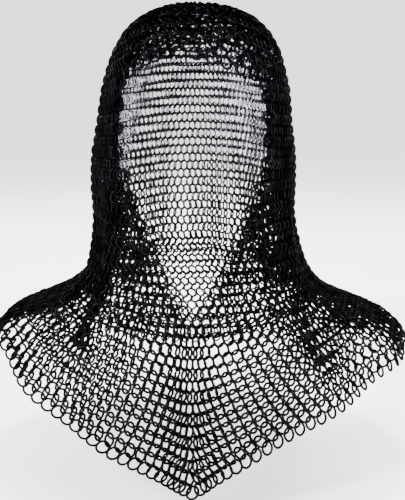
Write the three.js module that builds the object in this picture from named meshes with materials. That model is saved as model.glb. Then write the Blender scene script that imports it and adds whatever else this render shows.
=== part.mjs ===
// Chainmail coif: a hood of linked steel rings that opens at the face and widens into a mantle
// over the shoulders. Millimetres, +Z up, the face towards -Y, the wearer's left towards +X.
// The origin is the inside of the crown, where the wearer's head carries the mail.
// Left and right in the names are as seen by someone who faces the coif.
import * as THREE from 'three';

// Driving sizes
const WALL = 4;
const SEAM_GAP = 0.3;
const BROW_ROW = 15;
const THROAT_ROW = 33;
const HEM_ROW = 53;
const NAPE_ANGLE = 115;
const CHEST_ANGLE = 50;

// Faces round each stretch of the mail, and down the hood and the mantle
const BROW_FACES = 12;
const CHEST_FACES = 9;
const SHOULDER_FACES = 12;
const NAPE_FACES = 22;
const HOOD_STEPS = 12;
const MANTLE_STEPS = 12;

// Shape of the mail at some of its rows, counted from the centre of the crown: how far each side
// reaches from the middle, how high it lies, how square the row is seen from above (2 is an
// ellipse), how narrowly its height peaks at the front (2 is an even wave), how far round to the
// left that peak sits in degrees, and how much of it is the mantle's point instead (0 to 1)
const SECTION_COLUMNS = ['row', 'leftReach', 'leftZ', 'rightReach', 'rightZ',
  'frontReach', 'frontZ', 'backReach', 'backZ', 'square', 'peak', 'skew', 'point'];
const SECTIONS = [
  [0, 0, 2, 0, 2, 0, 2, 0, 2, 2, 2, 0, 0],
  [1, 9, 1.8, 9, 1.8, 9, 1.8, 9, 1.8, 2, 2, 0, 0],
  [3, 25, -1, 27, -1, 26, 0.5, 27, 0, 2, 2, 0, 0],
  [5, 40, -7, 45, -6, 43.5, -2.5, 45, -4, 2, 2, 0, 0],
  [7, 54, -16, 60, -15, 60, -8, 62, -11, 2, 2, 0, 0],
  [9, 66, -28.5, 72, -28, 75, -17, 77, -21.5, 2.05, 2, 0, 0],
  [11, 75, -44, 81, -44, 87.5, -28.5, 89.5, -34.5, 2.1, 3, 1, 0],
  [13, 81.5, -61, 86, -61, 96.5, -42.5, 98.5, -50.5, 2.15, 4, 4, 0],
  [15, 86, -78, 90, -78, 102.5, -57, 104, -68, 2.2, 6, 8, 0],
  [18, 91, -107, 93, -107, 104, -106, 107, -97, 2.2, 2, 0, 0],
  [21, 96, -136, 97, -136, 104, -136, 108.5, -126, 2.2, 2, 0, 0],
  [24, 97, -165, 97.5, -165, 104, -166, 108.5, -155, 2.2, 2, 0, 0],
  [27, 95.5, -194, 97, -194, 105, -197, 108.5, -184, 2.2, 2, 0, 0],
  [30, 98, -222, 102, -222, 109, -228, 109.5, -213, 2.2, 2, 0, 0],
  [33, 105, -248, 112, -249, 113, -259, 112, -241, 2.2, 2, 0, 0],
  [36, 118, -262, 126, -265.5, 119, -283, 121, -263, 2.2, 2.2, 0, 0.3],
  [39, 133, -271.5, 144, -276, 125.5, -306, 131, -284, 2.15, 2.4, 0, 0.5],
  [42, 150, -278, 162.5, -283, 131.5, -329, 140.5, -305, 2.1, 2.6, 0, 0.65],
  [45, 166.5, -283.5, 181, -290, 137.5, -352.5, 148, -326.5, 2.05, 2.8, 0, 0.8],
  [48, 182, -290, 197, -299.5, 143, -376, 153, -348.5, 2, 3, 0, 0.9],
  [51, 195, -299.5, 209.5, -313.5, 148, -400, 156, -371, 2, 3.2, 0, 1],
  [53, 200, -309, 215, -325.5, 150.5, -415, 157, -386, 2, 3.2, 0, 1],
];

// The point at the front of the mantle: where its slope starts, and how hollow it is on each side
const POINT_ANGLE = 70;
const POINT_HOLLOW_LEFT = 1;
const POINT_HOLLOW_RIGHT = 1.7;

// Half width of the face opening at some rows: upright cheeks, then a V down to the throat
const OPENING_COLUMNS = ['row', 'halfWidth'];
const OPENING = [
  [15, 59], [16, 61.5], [18, 63], [21, 62.5], [24, 51.5], [27, 40], [30, 26], [32, 13], [33, 0],
];

// Soft folds: a trough where the shoulder drape meets the chest, a keel down the front seam, and
// gathers round the neck that run out into waves at the hem
const FOLD_COLUMNS = ['row', 'troughAngle', 'troughDepth', 'keelHeight', 'gatherDepth'];
const FOLDS = [
  [0, 62, 0, 0, 0],
  [15, 62, 0, 0, 0],
  [21, 62, 0, 0, 0.8],
  [27, 62, 0, 0, 2],
  [31, 62, 1, 0, 2.6],
  [34, 61, 5, 0.5, 2.6],
  [38, 56, 9, 1.5, 2.2],
  [43, 49, 9, 2.5, 2],
  [48, 42, 5, 3.5, 2.2],
  [53, 38, 0, 4.5, 2.8],
];
const TROUGH_HALF_ANGLE = 15;
const KEEL_HALF_ANGLE = 10;
const GATHERS_ROUND = 13;
const GATHER_START = 20;

const STEEL = { color: 0x15161a, roughness: 0.42, metalness: 0.85 };
const RAD = Math.PI / 180;

// Smooth value of every column at any row: a cubic through the table's own rows
function tableAt(table, columns, row) {
  const last = table.length - 1;
  let low = 0;
  while (low < last - 1 && table[low + 1][0] <= row) low += 1;
  const from = table[low];
  const to = table[low + 1];
  const before = table[Math.max(0, low - 1)];
  const after = table[Math.min(last, low + 2)];
  const span = to[0] - from[0];
  const t = Math.min(1, Math.max(0, (row - from[0]) / span));
  const value = {};
  columns.forEach((name, column) => {
    const slopeIn = (to[column] - before[column]) / (to[0] - before[0]) * span;
    const slopeOut = (after[column] - from[column]) / (after[0] - from[0]) * span;
    const rise = to[column] - from[column];
    value[name] = from[column] + t * (slopeIn + t * (3 * rise - 2 * slopeIn - slopeOut
      + t * (slopeIn + slopeOut - 2 * rise)));
  });
  return value;
}

// A soft bump: 1 in the middle, 0 from the half width outwards
function bump(offset, halfWidth) {
  const t = Math.min(1, Math.abs(offset) / halfWidth);
  return (0.5 + 0.5 * Math.cos(Math.PI * t)) ** 1.2;
}

// Middle of the mail at a row and an angle round it: 0 at the face, + to the right, 180 behind
function mailPoint(row, turn) {
  const angle = turn > 180 ? turn - 360 : turn;
  const s = tableAt(SECTIONS, SECTION_COLUMNS, row);
  const f = tableAt(FOLDS, FOLD_COLUMNS, row);
  const sin = Math.sin(angle * RAD);
  const cos = Math.cos(angle * RAD);
  const power = 2 / s.square;
  const isRight = sin >= 0;
  const isFront = cos >= 0;
  const sideReach = isRight ? s.rightReach : s.leftReach;
  const sideZ = isRight ? s.rightZ : s.leftZ;
  const endReach = isFront ? s.frontReach : s.backReach;
  const endZ = isFront ? s.frontZ : s.backZ;
  const wave = Math.max(0, Math.cos((angle + s.skew) * RAD)) ** s.peak;
  const hollow = isRight ? POINT_HOLLOW_RIGHT : POINT_HOLLOW_LEFT;
  const pointed = Math.max(0, 1 - Math.abs(angle) / POINT_ANGLE) ** hollow;
  const endShare = isFront ? wave + (pointed - wave) * s.point : cos ** 2;
  const trough = f.troughDepth * bump(Math.abs(angle) - f.troughAngle, TROUGH_HALF_ANGLE);
  const keel = f.keelHeight * bump(angle, KEEL_HALF_ANGLE);
  const sideways = 1 - bump(angle, 2 * GATHER_START);
  const gather = f.gatherDepth * Math.cos(GATHERS_ROUND * (angle + GATHER_START) * RAD) * sideways;
  const out = keel + gather - 0.6 * trough;
  const x = (sideReach + out) * Math.sign(sin) * Math.abs(sin) ** power;
  const y = -(endReach + out) * Math.sign(cos) * Math.abs(cos) ** power;
  const z = sideZ + (endZ - sideZ) * endShare - 0.8 * trough;
  return new THREE.Vector3(x, y, z);
}

// Angle of the edge of the face opening at a row, from the width of the opening there
function openingAngle(row, side) {
  const half = Math.max(0, tableAt(OPENING, OPENING_COLUMNS, row).halfWidth);
  const s = tableAt(SECTIONS, SECTION_COLUMNS, row);
  const reach = side > 0 ? s.rightReach : s.leftReach;
  return Math.asin((half / reach) ** (s.square / 2)) / RAD;
}

// Way out of the mail at a row and an angle, square to its middle surface
function mailNormal(row, angle) {
  const down = mailPoint(row + 0.1, angle).sub(mailPoint(row - 0.1, angle));
  const round = mailPoint(row, angle + 0.5).sub(mailPoint(row, angle - 0.5));
  return down.cross(round).normalize();
}

// Closed wall over a grid of spots on the mail: two skins half a wall either side of the middle,
// and a rim. The rim is drawn in by half the seam gap, so that neighbouring pieces stay clear.
function wallGeometry(spot, rows, columns, { closed = false, apex = false } = {}) {
  const at = (i, j) => {
    const { row, angle } = spot(i, closed ? (j + columns) % columns : j);
    return mailPoint(row, angle);
  };
  const inset = (i, j) => {
    const p = at(i, j);
    const draw = (towards) => towards.sub(at(i, j)).setLength(SEAM_GAP / 2);
    const move = new THREE.Vector3();
    if (i === 0 && !apex) move.add(draw(at(1, j)));
    if (i === rows) move.add(draw(at(rows - 1, j)));
    if (!closed && j === 0) move.add(draw(at(i, 1)));
    if (!closed && j === columns) move.add(draw(at(i, columns - 1)));
    return p.add(move);
  };
  const normal = (i, j) => {
    const { row, angle } = spot(i, j);
    return mailNormal(row, angle);
  };
  const positions = [];
  const index = [];
  const width = closed ? columns : columns + 1;
  const firstRow = apex ? 1 : 0;
  const skins = [];
  [1, -1].forEach((side) => {
    const ids = [];
    if (apex) {
      ids.push(positions.length / 3);
      positions.push(0, 0, at(0, 0).z + side * WALL / 2);
    }
    for (let i = firstRow; i <= rows; i += 1) {
      const line = [];
      for (let j = 0; j < width; j += 1) {
        const p = inset(i, j).addScaledVector(normal(i, j), side * WALL / 2);
        line.push(positions.length / 3);
        positions.push(p.x, p.y, p.z);
      }
      ids.push(line);
    }
    skins.push(ids);
  });
  const face = (a, b, c, flip) => index.push(...(flip ? [a, c, b] : [a, b, c]));
  const wrap = (line, j) => line[closed ? j % columns : j];
  skins.forEach((ids, skin) => {
    const flip = skin === 1;
    for (let i = 0; i < ids.length - 1; i += 1) {
      for (let j = 0; j < columns; j += 1) {
        if (apex && i === 0) {
          face(ids[0], wrap(ids[1], j), wrap(ids[1], j + 1), flip);
        } else {
          face(wrap(ids[i], j), wrap(ids[i + 1], j), wrap(ids[i + 1], j + 1), flip);
          face(wrap(ids[i], j), wrap(ids[i + 1], j + 1), wrap(ids[i], j + 1), flip);
        }
      }
    }
  });
  // The rim's faces split from the first outer corner to the second inner one, or the other way
  // round on the opposite edge, so that two neighbours' rims have the same twist
  const [outer, inner] = skins;
  const rim = (a, b) => index.push(a[0], a[1], b[1], a[0], b[1], b[0]);
  const oppositeRim = (a, b) => index.push(b[0], b[1], a[0], a[0], b[1], a[1]);
  const pair = (i, j) => [wrap(outer[i], j), wrap(inner[i], j)];
  const end = outer.length - 1;
  for (let j = 0; j < columns; j += 1) {
    rim(pair(end, j), pair(end, j + 1));
    if (!apex) oppositeRim(pair(0, j), pair(0, j + 1));
  }
  if (!closed) {
    for (let i = 0; i < end; i += 1) {
      rim(pair(i, 0), pair(i + 1, 0));
      oppositeRim(pair(i, columns), pair(i + 1, columns));
    }
  }
  const geometry = new THREE.BufferGeometry();
  geometry.setAttribute('position', new THREE.Float32BufferAttribute(positions, 3));
  geometry.setIndex(index);
  geometry.computeVertexNormals();
  return geometry;
}

const coif = new THREE.Group();
coif.name = 'chainmail_coif';

function addPiece(name, geometry) {
  const piece = new THREE.Mesh(geometry, new THREE.MeshStandardMaterial(STEEL));
  piece.name = name;
  coif.add(piece);
}

// Evenly placed steps from one value to another
function steps(from, to, count) {
  return Array.from({ length: count + 1 }, (unused, i) => from + (to - from) * i / count);
}

// Angles of the edges of the faces on one side, from the front seam to the nape
const SIDE_ANGLES = [
  ...steps(0, CHEST_ANGLE, CHEST_FACES),
  ...steps(CHEST_ANGLE, NAPE_ANGLE, SHOULDER_FACES).slice(1),
];
const NAPE_ANGLES = steps(NAPE_ANGLE, 360 - NAPE_ANGLE, NAPE_FACES);

// The same angles at a row of the hood, drawn together behind the edge of the face opening
function cheekAngles(row, side) {
  const edge = openingAngle(row, side);
  return SIDE_ANGLES.map((angle) => side * (edge + angle * (1 - edge / NAPE_ANGLE)));
}

// A piece that runs over some rows, with the angles of its faces at each row
function addPanel(name, rowList, anglesAt) {
  const angles = rowList.map(anglesAt);
  const spot = (i, j) => ({ row: rowList[i], angle: angles[i][j] });
  addPiece(name, wallGeometry(spot, rowList.length - 1, angles[0].length - 1));
}

// Crown: the closed cap, from its centre ring down to the brow and the same row all round
function addCrown() {
  const right = cheekAngles(BROW_ROW, 1);
  const left = cheekAngles(BROW_ROW, -1);
  const angles = [
    ...steps(left[0], right[0], BROW_FACES).slice(0, -1),
    ...right.slice(0, -1),
    ...NAPE_ANGLES.slice(0, -1),
    ...left.slice(1).reverse(),
  ];
  const rowList = [0, 2, 4, 6, 8, 10, 12, 13.5, BROW_ROW];
  const spot = (i, j) => ({ row: rowList[i], angle: angles[j] });
  addPiece('crown', wallGeometry(spot, rowList.length - 1, angles.length, { closed: true, apex: true }));
}

// Hood: two cheeks from the face opening to behind the ears, and the nape between them
function addHood() {
  const rowList = steps(BROW_ROW, THROAT_ROW, HOOD_STEPS);
  addPanel('hood_right', rowList, (row) => cheekAngles(row, 1));
  addPanel('hood_left', rowList, (row) => cheekAngles(row, -1).reverse());
  addPanel('hood_nape', rowList, () => NAPE_ANGLES);
}

// Mantle: two chest halves that meet at the front seam, two shoulders and the back
function addMantle() {
  const rowList = steps(THROAT_ROW, HEM_ROW, MANTLE_STEPS);
  const chest = SIDE_ANGLES.slice(0, CHEST_FACES + 1);
  const shoulder = SIDE_ANGLES.slice(CHEST_FACES);
  const mirrored = (angles) => angles.map((angle) => -angle).reverse();
  addPanel('mantle_chest_right', rowList, () => chest);
  addPanel('mantle_chest_left', rowList, () => mirrored(chest));
  addPanel('mantle_shoulder_right', rowList, () => shoulder);
  addPanel('mantle_shoulder_left', rowList, () => mirrored(shoulder));
  addPanel('mantle_back', rowList, () => NAPE_ANGLES);
}

addCrown();
addHood();
addMantle();

export default coif;
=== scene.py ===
# %% [markdown]
# # A chainmail coif, ring by ring
# The coif is a hood and mantle of some 4500 steel rings. In real mail each ring runs through four
# others. The imported model gives it as nine plain walls. This lesson keeps their form and hangs a
# mesh on it: it places every ring, turns it against its neighbours, and lets Geometry Nodes put
# the same bent wire at each place.
# The mesh is made to look like mail and isn't all linked: about seven in ten
# of its links are threaded, and at about three in four the two wires run into each other.

import math

import bpy
import numpy as np
from mathutils import Matrix, Vector


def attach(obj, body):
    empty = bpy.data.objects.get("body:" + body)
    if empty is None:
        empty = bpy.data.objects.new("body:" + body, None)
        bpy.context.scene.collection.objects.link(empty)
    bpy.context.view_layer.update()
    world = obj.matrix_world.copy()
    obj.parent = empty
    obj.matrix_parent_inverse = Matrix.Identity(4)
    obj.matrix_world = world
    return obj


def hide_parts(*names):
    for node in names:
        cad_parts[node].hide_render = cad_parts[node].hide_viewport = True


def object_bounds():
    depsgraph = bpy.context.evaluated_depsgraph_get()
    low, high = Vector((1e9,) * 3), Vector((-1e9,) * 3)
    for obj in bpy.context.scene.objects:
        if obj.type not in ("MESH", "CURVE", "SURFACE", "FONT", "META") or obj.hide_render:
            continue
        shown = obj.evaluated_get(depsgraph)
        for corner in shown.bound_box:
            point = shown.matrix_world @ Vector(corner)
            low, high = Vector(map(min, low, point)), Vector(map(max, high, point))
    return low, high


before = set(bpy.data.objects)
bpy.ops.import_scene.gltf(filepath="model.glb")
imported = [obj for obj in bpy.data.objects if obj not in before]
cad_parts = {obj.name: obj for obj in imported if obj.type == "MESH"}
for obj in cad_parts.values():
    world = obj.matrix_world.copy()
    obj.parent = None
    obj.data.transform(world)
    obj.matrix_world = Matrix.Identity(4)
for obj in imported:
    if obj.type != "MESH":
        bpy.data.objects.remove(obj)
cad_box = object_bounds()
print("the walls reach from", tuple(cad_box[0]), "to", tuple(cad_box[1]))

# %% [markdown]
# ## The form of the mail as it is worn
# Mail has no form of its own: a head and a pair of shoulders give it one. Its rows run round the
# wearer, so a section is known by its row, counted from the centre of the crown, and a short
# table says how far each section reaches and how high it lies. A cloth simulation could drape
# the mesh, but the photographed drape would be lost, so the same table as in the solids is used.

# %% Sections, opening and folds in millimetres
# row, left reach, left z, right reach, right z, front reach, front z, back reach, back z,
# squareness, peak, skew in degrees, share of the point
SECTIONS = np.array([
    [0, 0, 2, 0, 2, 0, 2, 0, 2, 2, 2, 0, 0],
    [1, 9, 1.8, 9, 1.8, 9, 1.8, 9, 1.8, 2, 2, 0, 0],
    [3, 25, -1, 27, -1, 26, 0.5, 27, 0, 2, 2, 0, 0],
    [5, 40, -7, 45, -6, 43.5, -2.5, 45, -4, 2, 2, 0, 0],
    [7, 54, -16, 60, -15, 60, -8, 62, -11, 2, 2, 0, 0],
    [9, 66, -28.5, 72, -28, 75, -17, 77, -21.5, 2.05, 2, 0, 0],
    [11, 75, -44, 81, -44, 87.5, -28.5, 89.5, -34.5, 2.1, 3, 1, 0],
    [13, 81.5, -61, 86, -61, 96.5, -42.5, 98.5, -50.5, 2.15, 4, 4, 0],
    [15, 86, -78, 90, -78, 102.5, -57, 104, -68, 2.2, 6, 8, 0],
    [18, 91, -107, 93, -107, 104, -106, 107, -97, 2.2, 2, 0, 0],
    [21, 96, -136, 97, -136, 104, -136, 108.5, -126, 2.2, 2, 0, 0],
    [24, 97, -165, 97.5, -165, 104, -166, 108.5, -155, 2.2, 2, 0, 0],
    [27, 95.5, -194, 97, -194, 105, -197, 108.5, -184, 2.2, 2, 0, 0],
    [30, 98, -222, 102, -222, 109, -228, 109.5, -213, 2.2, 2, 0, 0],
    [33, 105, -248, 112, -249, 113, -259, 112, -241, 2.2, 2, 0, 0],
    [36, 118, -262, 126, -265.5, 119, -283, 121, -263, 2.2, 2.2, 0, 0.3],
    [39, 133, -271.5, 144, -276, 125.5, -306, 131, -284, 2.15, 2.4, 0, 0.5],
    [42, 150, -278, 162.5, -283, 131.5, -329, 140.5, -305, 2.1, 2.6, 0, 0.65],
    [45, 166.5, -283.5, 181, -290, 137.5, -352.5, 148, -326.5, 2.05, 2.8, 0, 0.8],
    [48, 182, -290, 197, -299.5, 143, -376, 153, -348.5, 2, 3, 0, 0.9],
    [51, 195, -299.5, 209.5, -313.5, 148, -400, 156, -371, 2, 3.2, 0, 1],
    [53, 200, -309, 215, -325.5, 150.5, -415, 157, -386, 2, 3.2, 0, 1],
])
POINT_ANGLE = 70
POINT_HOLLOW_LEFT = 1
POINT_HOLLOW_RIGHT = 1.7

# row, half the width of the face opening
OPENING = np.array([
    [15, 59], [16, 61.5], [18, 63], [21, 62.5], [24, 51.5], [27, 40], [30, 26], [32, 13], [33, 0],
])

# row, angle of the shoulder trough, its depth, height of the front keel, depth of the gathers
FOLDS = np.array([
    [0, 62, 0, 0, 0], [15, 62, 0, 0, 0], [21, 62, 0, 0, 0.8], [27, 62, 0, 0, 2],
    [31, 62, 1, 0, 2.6], [34, 61, 5, 0.5, 2.6], [38, 56, 9, 1.5, 2.2], [43, 49, 9, 2.5, 2],
    [48, 42, 5, 3.5, 2.2], [53, 38, 0, 4.5, 2.8],
])
TROUGH_HALF_ANGLE = 15
KEEL_HALF_ANGLE = 10
GATHERS_ROUND = 13
GATHER_START = 20
print(len(SECTIONS), "sections from the crown to the hem")

# %% [markdown]
# A smooth curve through the lines of a table keeps the mail free of corners between them. Every
# line is passed exactly, so a section can be changed without moving the others.

# %% Read a table between its lines
def table_at(table, rows):
    rows = np.asarray(rows, float)
    low = np.clip(np.searchsorted(table[:, 0], rows, side="right") - 1, 0, len(table) - 2)
    before = table[np.maximum(low - 1, 0)]
    start, end = table[low], table[low + 1]
    after = table[np.minimum(low + 2, len(table) - 1)]
    span = end[:, :1] - start[:, :1]
    t = (rows[:, None] - start[:, :1]) / span
    slope_in = (end - before) / (end[:, :1] - before[:, :1]) * span
    slope_out = (after - start) / (after[:, :1] - start[:, :1]) * span
    rise = end - start
    bend = 3 * rise - 2 * slope_in - slope_out + t * (slope_in + slope_out - 2 * rise)
    return start + t * (slope_in + t * bend)


def bump(offset, half_width):
    t = np.minimum(1, np.abs(offset) / half_width)
    return np.maximum(0, 0.5 + 0.5 * np.cos(np.pi * t)) ** 1.2


def ease(value, low, high):
    t = np.clip((value - low) / (high - low), 0, 1)
    return t * t * (3 - 2 * t)


# %% [markdown]
# A place on the mail is a row and a turn: 0 at the face, up to 180 behind on the right side and
# down to -180 on the left. Each row is an ellipse that is a little square, and its height swings
# between the sides and the front and back. The folds of the mantle are added to it: a trough by
# each shoulder, a keel down the front and gathers all round.

# %% A place on the mail
def mail_place(rows, turns):
    rows, turns = np.broadcast_arrays(np.asarray(rows, float), np.asarray(turns, float))
    shape = rows.shape
    rows, turns = rows.ravel(), turns.ravel()
    (_, left, left_z, right, right_z, front, front_z, back, back_z,
     square, peak, skew, point) = table_at(SECTIONS, rows).T
    _, trough_angle, trough_depth, keel_height, gather_depth = table_at(FOLDS, rows).T
    sin, cos = np.sin(np.radians(turns)), np.cos(np.radians(turns))
    is_right, is_front = sin >= 0, cos >= 0
    side, side_z = np.where(is_right, right, left), np.where(is_right, right_z, left_z)
    end, end_z = np.where(is_front, front, back), np.where(is_front, front_z, back_z)
    wave = np.maximum(0, np.cos(np.radians(turns + skew))) ** peak
    hollow = np.where(is_right, POINT_HOLLOW_RIGHT, POINT_HOLLOW_LEFT)
    pointed = np.maximum(0, 1 - np.abs(turns) / POINT_ANGLE) ** hollow
    share = np.where(is_front, wave + (pointed - wave) * point, cos ** 2)
    trough = trough_depth * bump(np.abs(turns) - trough_angle, TROUGH_HALF_ANGLE)
    keel = keel_height * bump(turns, KEEL_HALF_ANGLE)
    sideways = 1 - bump(turns, 2 * GATHER_START)
    gather = gather_depth * np.cos(np.radians(GATHERS_ROUND * (turns + GATHER_START))) * sideways
    out = keel + gather - 0.6 * trough
    power = 2 / square
    x = (side + out) * np.sign(sin) * np.abs(sin) ** power
    y = -(end + out) * np.sign(cos) * np.abs(cos) ** power
    z = side_z + (end_z - side_z) * share - 0.8 * trough
    return np.stack([x, y, z], -1).reshape(*shape, 3)


def opening_turn(row, sign):
    """How far round the face opening's edge lies at one row, on the right (1) or left (-1)."""
    section = table_at(SECTIONS, [row])[0]
    half = max(0, table_at(OPENING, [row])[0, 1]) if row < OPENING[-1, 0] else 0
    reach = section[3] if sign > 0 else section[1]
    return math.degrees(math.asin(min(1, (half / reach) ** (section[9] / 2))))


print("the hem's point is at", mail_place(53, 0).round(), "mm")

# %% [markdown]
# ## The weave
# European four-in-one is worked in rows, and each ring hangs from two rings of the row above.
# The crown starts from one ring and grows by eight rings a row, one in each of eight sectors.
# From the thirteenth row on, a row has 104 rings, half a ring out of step with the last. The face
# opening leaves eleven or twelve of them out, and below the cheeks it closes by half a ring on
# each side of each row, which is what makes the V.
# A ring's column runs from 52 at the front seam over 0 at the back to -52 at the seam again.

# %% Count the rings of a row
COLUMNS = 104
SEAM = COLUMNS // 2
SECTORS = 8
GROWN_ROW = COLUMNS // SECTORS
BROW_ROW = 15
CHEEK_ROW = 25
THROAT_ROW = 36
HEM_ROW = 51
CHEEK_COLUMN = 46


def edge_column(row):
    if BROW_ROW < row < THROAT_ROW:
        return CHEEK_COLUMN + max(0, row - CHEEK_ROW) / 2
    return SEAM


def row_columns(row):
    if row <= GROWN_ROW:
        ring = np.arange(SECTORS * row)
        return SEAM - COLUMNS * (ring // row + (ring % row + 0.5) / row) / SECTORS
    columns = np.arange(-SEAM, SEAM) + (1 if row % 2 else 0.5)
    return columns[np.abs(columns) <= edge_column(row)]


print("rings:", 1 + sum(len(row_columns(row)) for row in range(1, HEM_ROW + 1)))

# %% [markdown]
# The rings are not spread evenly. They hang open over the brow and round the V, crowd in the
# shoulder troughs and down the front seam, where the mantle is gathered, and lean most there.
# Each row is therefore measured along the form, and its columns are dealt out by a crowding
# that says how close they lie there. A ring at an edge stays its own radius inside the edge.

# %% Deal a row's rings along the form
WIRE = 1.8
INNER = 9.2
RING_RADIUS = (INNER + WIRE) / 2
EDGE_REACH = RING_RADIUS + WIRE / 2
CHEEK_INSET = 5
THROAT_PITCH = 9.3
SAMPLES = 721

# row of rings, the form's row where it lies at the face
FACE_ROWS = np.array([[0, 0], [15, 15], [19, 18.4], [27, 26.6], [THROAT_ROW, 34.4]])
# row of rings, half the width of the gathered band down the front, how much closer rings lie in it
GATHER = np.array([[THROAT_ROW, 8, 0], [37, 9, 1.2], [40, 18, 0.75], [43, 26, 0.8], [47, 33, 1.0],
                   [50, 38, 1.3], [HEM_ROW, 42, 2.0]])
GATHER_RIGHT = 0.8
BROW_LIFT = 0.85
BROW_SHIFT = -6


def row_length(rows, turns):
    """Millimetres of mail from one of the form's rows to the next."""
    step = mail_place(rows + 0.1, turns) - mail_place(rows - 0.1, turns)
    return np.linalg.norm(step, axis=-1) / 0.2


def form_row(row, turns):
    """The form's row, at some turns, where a row of rings lies."""
    turns = np.asarray(turns, float)
    throat = FACE_ROWS[-1, 1]
    if row > THROAT_ROW:
        last = SECTIONS[-1, 0]
        hem = last - EDGE_REACH / row_length(np.full_like(turns, last - 1), turns)
        fallen = (row - THROAT_ROW) / (HEM_ROW - THROAT_ROW)
        evenness = 1 + 0.1 * (1 - np.exp(-((turns / 12) ** 2)))
        return throat + fallen ** evenness * (hem - throat)
    at_face = np.interp(row, FACE_ROWS[:, 0], FACE_ROWS[:, 1])
    if row <= BROW_ROW:
        window = 1 - ease(np.abs(turns), 34, 46)
        return at_face - BROW_LIFT * ease(row, 10, BROW_ROW) * window
    even = BROW_ROW + (row - BROW_ROW) * (throat - BROW_ROW) / (THROAT_ROW - BROW_ROW)
    return at_face + (even - at_face) * ease(np.abs(turns), 45, 100)


def crowding(row, turns, reach):
    away = np.abs(turns)
    crowd = 1 + 0.25 * (1 - ease(away, 85, 125)) * ease(row, BROW_ROW, 18) * (1 - ease(row, 30, 36))
    if row <= CHEEK_ROW:
        return crowd
    opened = ease(row, CHEEK_ROW, 31) * (1 - ease(row, 39, 46))
    crowd += (0.13 * ease(row, 39, 46) - 0.17 * opened) * (1 - ease(away, 45, 70))
    trough = np.interp(row, FOLDS[:, 0], FOLDS[:, 1])
    crowd += 0.35 * bump(away - trough, 14) * ease(row, 33, 37) * (1 - ease(row, 47, 50))
    width, extra = np.array([np.interp(row, GATHER[:, 0], GATHER[:, k]) for k in (1, 2)])
    width = width * np.where(turns > 0, GATHER_RIGHT, 1)
    crowd += extra * np.exp(-((reach / width) ** 4))
    return crowd


def anchors(row, sign):
    """Columns of a row that are known, from the front to the back, and their turns."""
    if row <= BROW_ROW:
        face = ease(row, 5, BROW_ROW)
        even = (SEAM - CHEEK_COLUMN) * 360 / COLUMNS
        cheek = even + (opening_turn(BROW_ROW + 0.5, sign) + 3 - even) * face
        return [SEAM, CHEEK_COLUMN, 0], [sign * BROW_SHIFT * face, cheek, 180]
    return [edge_column(row), 0], [opening_turn(float(form_row(row, 0)), sign), 180]


def deal_row(row):
    columns = row_columns(row)
    turns = np.zeros(len(columns))
    for sign in (1, -1):
        known, known_turns = anchors(row, sign)
        away = np.linspace(known_turns[0], 180, SAMPLES)
        line = mail_place(form_row(row, sign * away), sign * away)
        steps = np.linalg.norm(np.diff(line, axis=0), axis=1)
        reach = np.concatenate([[0], np.cumsum(steps)])
        crowd = crowding(row, sign * away, reach)
        tally = np.concatenate([[0], np.cumsum(steps * (crowd[1:] + crowd[:-1]) / 2)])
        known_tally = np.interp(known_turns, away, tally)
        if BROW_ROW < row < THROAT_ROW:
            inset = max(CHEEK_INSET, THROAT_PITCH * (SEAM - known[0]) - abs(line[0, 0]))
            known_tally[0] = np.interp(inset, reach, tally)
        mine = columns * sign > 0 if sign < 0 else columns >= 0
        wanted = np.interp(-np.abs(columns[mine]), -np.array(known, float), known_tally)
        turns[mine] = sign * np.interp(wanted, tally, away)
    return columns, turns


# %% Lay out every ring
ring_row, ring_column, ring_form, ring_turn = [[0]], [[0]], [[0.05]], [[0]]
for row in range(1, HEM_ROW + 1):
    columns, turns = deal_row(row)
    ring_row.append([row] * len(columns))
    ring_column.append(columns)
    ring_form.append(form_row(row, turns) + 0 * turns)
    ring_turn.append(turns)
ring_row, ring_column, ring_form, ring_turn = (
    np.concatenate(part).astype(float) for part in (ring_row, ring_column, ring_form, ring_turn)
)
print("laid out", len(ring_row), "rings")

# %% [markdown]
# ## Which rings are linked
# A ring is linked to the two rings of the row above whose columns are nearest its own, and it
# lies beside the next ring of its own row. Both lists are needed: the links hold the mail
# together, and the wires of neighbours keep it from closing up.

# %% Find links and neighbours
HALF_STEP = 0.51


def column_gap(a, b):
    return np.abs((a - b + SEAM) % COLUMNS - SEAM)


rings_of = [np.flatnonzero(ring_row == row) for row in range(HEM_ROW + 1)]
links, neighbours = [], []
for row in range(1, HEM_ROW + 1):
    here, above = rings_of[row], rings_of[row - 1]
    gaps = column_gap(ring_column[here][:, None], ring_column[above][None])
    nearest = np.argsort(gaps, axis=1, kind="stable")[:, :2]
    for ring, picks, gap in zip(here, nearest, np.take_along_axis(gaps, nearest, 1)):
        near = [p for p, g in zip(picks, gap) if row <= GROWN_ROW or g < HALF_STEP]
        links += [(above[p], ring) for p in near]
    order = here[np.argsort(ring_column[here])]
    spacing = COLUMNS / (SECTORS * row) if row <= GROWN_ROW else 1
    for ring, after in zip(order, np.roll(order, -1)):
        if column_gap(ring_column[ring], ring_column[after]) < 1.3 * spacing:
            neighbours.append((ring, after))
links, neighbours = np.array(links), np.array(neighbours)
print(len(links), "links and", len(neighbours), "neighbours")

# %% [markdown]
# ## Let the mail settle
# Two linked rings can't be further apart than the inside of a ring, and two neighbours can't be
# closer than their wires allow. Eighty passes move each ring along the form towards that, and
# don't reach it: the form is a little too long for its rows. The middle link is 9.5 mm where a
# ring allows 9.2, and two links in three are too long. More rows would mend it. The rings along
# the edges keep their place, so the outline stays.

# %% Settle the rings on the form
LINK_RANGE = (5.8, 9.4)
NEIGHBOUR_RANGE = (4.7, 13.6)
PASSES = 80
HOME_PULL = 0.02

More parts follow.
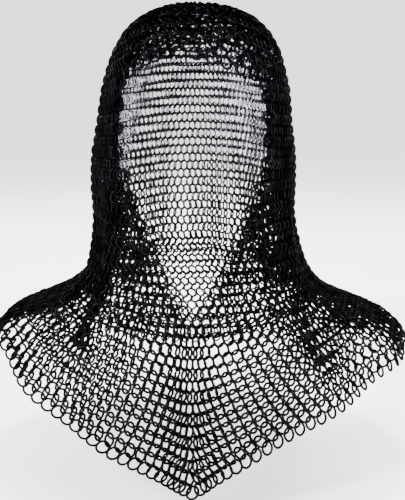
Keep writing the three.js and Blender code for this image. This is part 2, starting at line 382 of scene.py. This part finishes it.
is_open_row = (ring_row > BROW_ROW) & (ring_row < THROAT_ROW)
row_edge = np.array([edge_column(row) for row in ring_row])
at_cheek = is_open_row & (np.abs(ring_column) > row_edge - 0.6)
over_face = (ring_row == BROW_ROW) & (np.abs(ring_column) >= CHEEK_COLUMN)
keeps_row = at_cheek | over_face | (ring_row == HEM_ROW) | (ring_row == 0)
keeps_turn = at_cheek | (ring_row == 0) | ((ring_row == HEM_ROW) & (np.abs(ring_column) > SEAM - 1))


def settle(rows, turns):
    home_rows, home_turns = rows.copy(), turns.copy()
    for _ in range(PASSES):
        place = mail_place(rows, turns)
        down = (mail_place(rows + 0.05, turns) - place) / 0.05
        along = (mail_place(rows, turns + 0.1) - place) / 0.1
        push, held = np.zeros_like(place), np.ones(len(place))
        for pairs, (low, high) in ((links, LINK_RANGE), (neighbours, NEIGHBOUR_RANGE)):
            first, second = pairs.T
            gap = place[second] - place[first]
            length = np.linalg.norm(gap, axis=1, keepdims=True)
            shift = gap * 0.5 * (1 - np.clip(length, low, high) / length)
            np.add.at(push, first, shift)
            np.add.at(push, second, -shift)
            moved = (length[:, 0] < low) | (length[:, 0] > high)
            np.add.at(held, first, moved)
            np.add.at(held, second, moved)
        push *= (1.6 / held)[:, None]
        dd, da, aa = (down * down).sum(1), (down * along).sum(1), (along * along).sum(1)
        pd, pa = (push * down).sum(1), (push * along).sum(1)
        area = np.maximum(dd * aa - da * da, 1e-6)
        rows_step = (pd * aa - pa * da) / area
        turns_step = (pa * dd - pd * da) / area
        rows = rows + np.where(keeps_row, 0, rows_step) + HOME_PULL * (home_rows - rows)
        turns = turns + np.where(keeps_turn, 0, turns_step) + HOME_PULL * (home_turns - turns)
        rows = np.clip(rows, 0.02, SECTIONS[-1, 0] - 0.1)
    return rows, turns


ring_form, ring_turn = settle(ring_form, ring_turn)
ring_place = mail_place(ring_form, ring_turn)
link_length = np.linalg.norm(ring_place[links[:, 0]] - ring_place[links[:, 1]], axis=1)
print("links in mm:", np.percentile(link_length, (0, 5, 50, 95, 100)).round(1))

# %% [markdown]
# ## How each ring lies
# Hung mail turns its rings: every ring of a row leans the same way about its up-and-down line,
# and the next row leans the other way. How far depends on the room. Where the mail is pulled wide
# a ring lies nearly flat in it, and where it is gathered the ring stands up. The formula below
# was set against the photograph, and it doesn't keep every wire clear of its neighbours.
# Where rows lie close, as at the side hem, each row also laps over the next.

# %% Turn each ring
EVEN_LEAN = 36
EVEN_PITCH = 8
LEAN_FOR_CROWDED = 6
LEAN_FOR_SPREAD = 3
LEAN_FOR_FALL = 2
LEAN_LIMITS = (20, 60)
LAP = 11
LEAN_SPLIT = -8
MANTLE_LEAN = 2
HEM_LEAN = 28
EDGE_LEAN = 0.6
BROW_LEAN = 0.65
PROUD = 1.0
CROWN_SINK = 2.5


def mean_over(pairs, values):
    total, count = np.zeros(len(ring_row)), np.zeros(len(ring_row))
    for ends in pairs.T:
        np.add.at(total, ends, values)
        np.add.at(count, ends, 1)
    return total / np.maximum(count, 1)


spread = mean_over(neighbours, np.linalg.norm(
    ring_place[neighbours[:, 0]] - ring_place[neighbours[:, 1]], axis=1))
spread[rings_of[0]] = 7
link = mean_over(links, link_length)
fall = np.sqrt(np.maximum(link ** 2 - (spread / 2) ** 2, 16))
lean = (EVEN_LEAN + LEAN_FOR_CROWDED * np.maximum(0, EVEN_PITCH - spread)
        - LEAN_FOR_SPREAD * np.maximum(0, spread - EVEN_PITCH)
        - LEAN_FOR_FALL * (fall - EVEN_PITCH))
is_odd = ring_row % 2 == 1
lean = lean + MANTLE_LEAN * ease(ring_row, THROAT_ROW - 3, THROAT_ROW + 2)
lean = np.clip(lean + np.where(is_odd, LEAN_SPLIT, -LEAN_SPLIT), *LEAN_LIMITS)
lean = np.where(at_cheek | over_face, lean * EDGE_LEAN, lean)
lean = np.where(ring_row == HEM_ROW, HEM_LEAN, lean)
near_face = ease(ring_row, 9, 12) * (ring_row < BROW_ROW) * (1 - ease(np.abs(ring_turn), 28, 40))
lean = lean * (1 + (BROW_LEAN - 1) * near_face)
lean = np.radians(lean) * np.where(is_odd, -1, 1)
lap = np.radians(LAP * ease(7.2 - fall, 0, 1.2))


def unit(vectors):
    return vectors / np.linalg.norm(vectors, axis=-1, keepdims=True)


def cross_turn():
    """Directions along the row and out of the mail at each ring."""
    low, high = np.maximum(ring_form - 0.1, 0.01), np.minimum(ring_form + 0.1, SECTIONS[-1, 0])
    along = mail_place(ring_form, ring_turn + 0.4) - mail_place(ring_form, ring_turn - 0.4)
    down = mail_place(high, ring_turn) - mail_place(low, ring_turn)
    return unit(along), unit(np.cross(down, along))


along, outward = cross_turn()
along[0], outward[0] = (1, 0, 0), (0, 0, 1)
down = np.cross(along, outward)
inset = np.maximum(0, RING_RADIUS * np.sin(np.abs(lean)) + WIRE / 2 - PROUD)
inset = inset + CROWN_SINK * (1 - ease(ring_form, 3, 9))
ring_place = ring_place - inset[:, None] * outward
across = np.cos(lean)[:, None] * along + np.sin(lean)[:, None] * outward
length = np.cos(lap)[:, None] * down + np.sin(lap)[:, None] * outward
length = unit(length - across * (across * length).sum(1, keepdims=True))
facing = np.cross(across, length)
ring_lie = [
    Matrix(np.stack(axes, 1).tolist()).to_quaternion() for axes in zip(across, length, facing)
]
print("rings lean by", np.degrees(np.abs(lean)).min().round(), "to",
      np.degrees(np.abs(lean)).max().round(), "degrees")

# %% [markdown]
# ## The steel
# The wire is mild steel that was blackened in hot oil after it was drawn. The oxide is thin and
# dense, so it stays a metal to the eye: nearly black, with small hard highlights along each
# wire. Rings rub on each other, which polishes some more than others, so the roughness follows
# a wear value that each ring carries. Principled shading with full metallic does this, and a
# faint noise, a few millimetres across, breaks up the sheen as an uneven oil coat would.

# %% A helper for nodes and one for colours
def add_node(tree, kind, values=None, **settings):
    node = tree.nodes.new(kind)
    for name, value in settings.items():
        setattr(node, name, value)
    for name, value in (values or {}).items():
        if isinstance(value, bpy.types.NodeSocket):
            tree.links.new(value, node.inputs[name])
        else:
            node.inputs[name].default_value = value
    return node


def first_out(node):
    return next(socket for socket in node.outputs if socket.enabled)


def linear(hex_colour):
    """A sRGB hex colour as linear RGBA."""
    parts = [int(hex_colour[i:i + 2], 16) / 255 for i in (1, 3, 5)]
    return [c / 12.92 if c <= 0.04045 else ((c + 0.055) / 1.055) ** 2.4 for c in parts] + [1]


# %% Oil-blackened steel wire
MM = 0.001
OIL_PATCH = 6 * MM
OXIDE_EDGE = "#000000"
WORN = "worn"


def make_steel():
    steel = bpy.data.materials.new("oil_blackened_steel_wire")
    steel.use_nodes = True
    tree = steel.node_tree
    tree.nodes.clear()
    spot = add_node(tree, "ShaderNodeTexCoord")
    patches = add_node(tree, "ShaderNodeTexNoise", {
        "Vector": spot.outputs["Object"], "Scale": 1 / OIL_PATCH, "Detail": 2.0})
    worn = add_node(tree, "ShaderNodeAttribute", attribute_name=WORN)
    uneven = add_node(tree, "ShaderNodeMath", {
        0: worn.outputs["Fac"], 1: patches.outputs["Fac"]}, operation="MULTIPLY")
    gloss = add_node(tree, "ShaderNodeMapRange", {
        "Value": uneven.outputs[0], "From Min": 0.1, "From Max": 0.6,
        "To Min": 0.34, "To Max": 0.2})
    tone = add_node(tree, "ShaderNodeMix", {
        "Factor": uneven.outputs[0], 6: linear("#070708"), 7: linear("#1e1e21")}, data_type="RGBA")
    surface = add_node(tree, "ShaderNodeBsdfPrincipled", {
        "Base Color": tone.outputs[2], "Roughness": gloss.outputs[0], "Metallic": 1.0,
        "Specular Tint": linear(OXIDE_EDGE)})
    add_node(tree, "ShaderNodeOutputMaterial", {"Surface": surface.outputs[0]})
    return steel


steel = make_steel()
print("made", steel.name)

# %% [markdown]
# ## One ring, thousands of times
# Each ring is a length of wire bent round until its ends butt, so the tree sweeps a small circle
# along an arc that stops just short of closing. It instances that wire on a cloud of points, one
# a ring, whose stored rotation says how the ring lies. A random shake in every direction
# and a random spin of the butt keep the rows from looking machined. Fourteen steps
# round the ring and five round the wire are enough, since there are so many of them.

# %% The tree that threads the rings
RING_STEPS = 14
WIRE_SIDES = 5
# the wire is drawn thicker than it is, since a bright ground eats into fine dark lines
DRAWN = 1.25
BUTT_GAP = 2.5
SHAKE = 3.5
SEED = 1066
LIE = "lie"


def make_ring_tree():
    tree = bpy.data.node_groups.new("threaded_rings", "GeometryNodeTree")
    tree.is_modifier = True
    face = tree.interface
    face.new_socket("Geometry", in_out="INPUT", socket_type="NodeSocketGeometry")
    for name in ("Ring radius", "Wire radius", "Butt gap", "Shake"):
        face.new_socket(name, in_out="INPUT", socket_type="NodeSocketFloat")
    for name in ("Ring steps", "Wire sides", "Seed"):
        face.new_socket(name, in_out="INPUT", socket_type="NodeSocketInt")
    face.new_socket("Material", in_out="INPUT", socket_type="NodeSocketMaterial")
    face.new_socket("Geometry", in_out="OUTPUT", socket_type="NodeSocketGeometry")
    given = add_node(tree, "NodeGroupInput").outputs

    sweep = add_node(tree, "ShaderNodeMath", {0: 2 * math.pi, 1: given["Butt gap"]},
                     operation="SUBTRACT")
    arc = add_node(tree, "GeometryNodeCurveArc", {
        "Resolution": given["Ring steps"], "Radius": given["Ring radius"],
        "Sweep Angle": sweep.outputs[0]})
    section = add_node(tree, "GeometryNodeCurvePrimitiveCircle", {
        "Resolution": given["Wire sides"], "Radius": given["Wire radius"]})
    wire = add_node(tree, "GeometryNodeCurveToMesh", {
        "Curve": arc.outputs[0], "Profile Curve": section.outputs[0], "Fill Caps": True})
    smooth = add_node(tree, "GeometryNodeSetShadeSmooth", {"Geometry": wire.outputs[0]})

    most = add_node(tree, "ShaderNodeCombineXYZ", {
        "X": given["Shake"], "Y": given["Shake"], "Z": math.pi})
    least = add_node(tree, "ShaderNodeVectorMath", {0: most.outputs[0], "Scale": -1.0},
                     operation="SCALE")
    shake = add_node(tree, "FunctionNodeRandomValue", {
        "Min": least.outputs[0], "Max": most.outputs[0], "Seed": given["Seed"]},
        data_type="FLOAT_VECTOR")
    shaken = add_node(tree, "FunctionNodeEulerToRotation", {"Euler": first_out(shake)})
    lie = add_node(tree, "GeometryNodeInputNamedAttribute", {"Name": LIE}, data_type="QUATERNION")
    turned = add_node(tree, "FunctionNodeRotateRotation", {
        "Rotation": first_out(lie), "Rotate By": shaken.outputs[0]}, rotation_space="LOCAL")

    rings = add_node(tree, "GeometryNodeInstanceOnPoints", {
        "Points": given["Geometry"], "Instance": smooth.outputs[0], "Rotation": turned.outputs[0]})
    wear = add_node(tree, "FunctionNodeRandomValue", {"Seed": given["Seed"]}, data_type="FLOAT")
    marked = add_node(tree, "GeometryNodeStoreNamedAttribute", {
        "Geometry": rings.outputs[0], "Name": WORN, "Value": first_out(wear)},
        data_type="FLOAT", domain="INSTANCE")
    real = add_node(tree, "GeometryNodeRealizeInstances", {"Geometry": marked.outputs[0]})
    finished = add_node(tree, "GeometryNodeSetMaterial", {
        "Geometry": real.outputs[0], "Material": given["Material"]})
    add_node(tree, "NodeGroupOutput", {"Geometry": finished.outputs[0]})
    return tree


ring_tree = make_ring_tree()
print("the ring tree has", len(ring_tree.nodes), "nodes")

# %% [markdown]
# ## The nine pieces
# A maker weaves the crown, the hood and the mantle and links them up. The first fifteen rows are
# the crown, and each other ring goes to the piece of the frame where its centre lies, so every
# piece stands for one wall. A leaning ring is thicker than the wall and reaches out of it.

# %% Share the rings out
CROWN_END, THROAT_END = 15, 33
NAPE_TURN, CHEST_TURN = 115, 50


def piece_of(row, form, turn):
    away, side = abs(turn), "right" if turn >= 0 else "left"
    if row <= BROW_ROW:
        return "crown"
    if form < THROAT_END:
        return "hood_nape" if away > NAPE_TURN else f"hood_{side}"
    if away > NAPE_TURN:
        return "mantle_back"
    return f"mantle_chest_{side}" if away < CHEST_TURN else f"mantle_shoulder_{side}"


ring_piece = np.array([piece_of(*ring) for ring in zip(ring_row, ring_form, ring_turn)])
print({str(name): int(count) for name, count in zip(*np.unique(ring_piece, return_counts=True))})


# %% Thread each piece and make it a plain mesh
def thread_piece(name, seed):
    chosen = np.flatnonzero(ring_piece == name)
    points = bpy.data.meshes.new(f"{name}_rings")
    points.from_pydata((ring_place[chosen] * MM).tolist(), [], [])
    lie = points.attributes.new(LIE, "QUATERNION", "POINT")
    lie.data.foreach_set("value", [part for ring in chosen for part in ring_lie[ring]])
    cloud = bpy.data.objects.new(f"{name}_cloud", points)
    bpy.context.scene.collection.objects.link(cloud)
    threading = cloud.modifiers.new("threaded rings", "NODES")
    threading.node_group = ring_tree
    sizes = {
        "Ring radius": RING_RADIUS * MM, "Wire radius": WIRE / 2 * DRAWN * MM,
        "Butt gap": math.radians(BUTT_GAP), "Shake": math.radians(SHAKE),
        "Ring steps": RING_STEPS + 1, "Wire sides": WIRE_SIDES, "Seed": seed,
        "Material": steel,
    }
    for item in ring_tree.interface.items_tree:
        if item.in_out == "INPUT" and item.name in sizes:
            threading[item.identifier] = sizes[item.name]
    ready = cloud.evaluated_get(bpy.context.evaluated_depsgraph_get())
    piece = bpy.data.objects.new(f"{name}_mail", bpy.data.meshes.new_from_object(ready))
    bpy.context.scene.collection.objects.link(piece)
    bpy.data.objects.remove(cloud)
    return piece, len(chosen)


# %% [markdown]
# ## Hang each piece on one root and count its cut
# Every piece rides with the coif on one root and takes the place of the wall of the same name,
# which is hidden. The rectangle that holds a piece is counted in the weave, from the first
# column and row of a piece to its last. The crown is woven as a disc that doesn't lie flat when
# it is let out, so it has a square of as many rings instead. On a wearer the mantle hangs from
# the hood, and the hood from the crown, which rests on the head; here all nine hang from one root.

PIECES = (
    "crown", "hood_left", "hood_right", "hood_nape", "mantle_chest_left", "mantle_chest_right",
    "mantle_shoulder_left", "mantle_shoulder_right", "mantle_back",
)


def cut_of(name):
    """Columns and rows of the rectangle of mail that holds a piece."""
    chosen = ring_piece == name
    if name == "crown":
        side = math.ceil(math.sqrt(chosen.sum()))
        return side, side
    columns, rows = ring_column[chosen], ring_row[chosen]
    if name.endswith("left"):
        columns = np.where(columns > 0, columns - COLUMNS, columns)
    if name.endswith("right"):
        columns = np.where(columns < 0, columns + COLUMNS, columns)
    return math.ceil(np.ptp(columns) + 1), int(np.ptp(rows) + 1)


for order, name in enumerate(PIECES):
    piece, count = thread_piece(name, SEED + order)
    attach(piece, "root")
    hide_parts(name)
    columns, rows = cut_of(name)
    print(name, count, "rings, cut", columns, "by", rows, "and", len(piece.data.polygons), "faces")

# %% [markdown]
# ## Floor, light and camera
# Black steel shows only what it mirrors. Five square lights, 30 to 50 cm wide, draw the fine
# streaks along the wires. The pale floor and the pale surround stand for a white studio sweep.
# In the photograph the face opening is plain white. Here the inside of the hood's back shows in
# it, so a small lamp in the hood lights that mesh.

# %% A pale floor
FLOOR_DROP = 0.03
FLOOR_HALF = 6.0


def make_floor():
    lowest = cad_box[0].z - FLOOR_DROP
    half = FLOOR_HALF
    corners = [(-half, -half), (half, -half), (half, half), (-half, half)]
    mesh = bpy.data.meshes.new("floor")
    mesh.from_pydata([(x, y, lowest) for x, y in corners], [], [(0, 1, 2, 3)])
    paint = bpy.data.materials.new("matt_white_paint")
    paint.use_nodes = True
    surface = paint.node_tree.nodes["Principled BSDF"]
    surface.inputs["Base Color"].default_value = linear("#ffffff")
    surface.inputs["Roughness"].default_value = 0.9
    mesh.materials.append(paint)
    floor = bpy.data.objects.new("floor", mesh)
    bpy.context.scene.collection.objects.link(floor)


make_floor()

# %% Soft studio lights
middle = (cad_box[0] + cad_box[1]) / 2
# name, place from the coif's middle in metres, width, watts
LIGHTS = [
    ("key", (-1.1, -1.3, 1.5), 0.3, 80),
    ("fill", (1.5, -1.2, 0.7), 0.3, 45),
    ("top", (0.1, 0.2, 1.9), 0.4, 70),
    ("back_left", (-1.2, 1.3, 1.0), 0.5, 35),
    ("back_right", (1.3, 1.2, 1.1), 0.5, 35),
]
# a small lamp in the hood, turned to its back, so that the mesh behind the face isn't black
INSIDE_PLACE = (0.0, -0.05, 0.1)
INSIDE_WIDTH = 0.12
INSIDE_SPREAD = 85
INSIDE_WATTS = 16
for name, offset, width, watts in LIGHTS:
    light = bpy.data.lights.new(name, "AREA")
    light.size = width
    light.energy = watts
    lamp = bpy.data.objects.new(name, light)
    lamp.location = middle + Vector(offset)
    lamp.rotation_euler = Vector(offset).to_track_quat("Z", "Y").to_euler()
    bpy.context.scene.collection.objects.link(lamp)

glow = bpy.data.lights.new("inside", "AREA")
glow.size = INSIDE_WIDTH
glow.energy = INSIDE_WATTS
glow.spread = math.radians(INSIDE_SPREAD)
inside = bpy.data.objects.new("inside", glow)
inside.location = middle + Vector(INSIDE_PLACE)
inside.rotation_euler = Vector((0, -1, -0.1)).to_track_quat("Z", "Y").to_euler()
bpy.context.scene.collection.objects.link(inside)

world = bpy.data.worlds.new("studio")
world.use_nodes = True
surround = world.node_tree.nodes["Background"]
surround.inputs["Color"].default_value = (1, 1, 1, 1)
surround.inputs["Strength"].default_value = 2.2
bpy.context.scene.world = world
print(len(LIGHTS) + 1, "lights")

# %% The camera at the photograph's angle
CAMERA_PLACE = (8.4 * MM, -666.0 * MM, -91.9 * MM)
CAMERA_PITCH = 12
FOCAL_PIXELS = 680
IMAGE_HEIGHT = 500
SENSOR = 36

camera = bpy.data.cameras.new("camera")
camera.sensor_fit = "VERTICAL"
camera.sensor_height = SENSOR
camera.lens = FOCAL_PIXELS / IMAGE_HEIGHT * SENSOR
camera_object = bpy.data.objects.new("camera", camera)
camera_object.location = CAMERA_PLACE
camera_object.rotation_euler = (math.radians(90 - CAMERA_PITCH), 0, 0)
bpy.context.scene.collection.objects.link(camera_object)
bpy.context.scene.camera = camera_object
print("lens", round(camera.lens, 1), "mm")
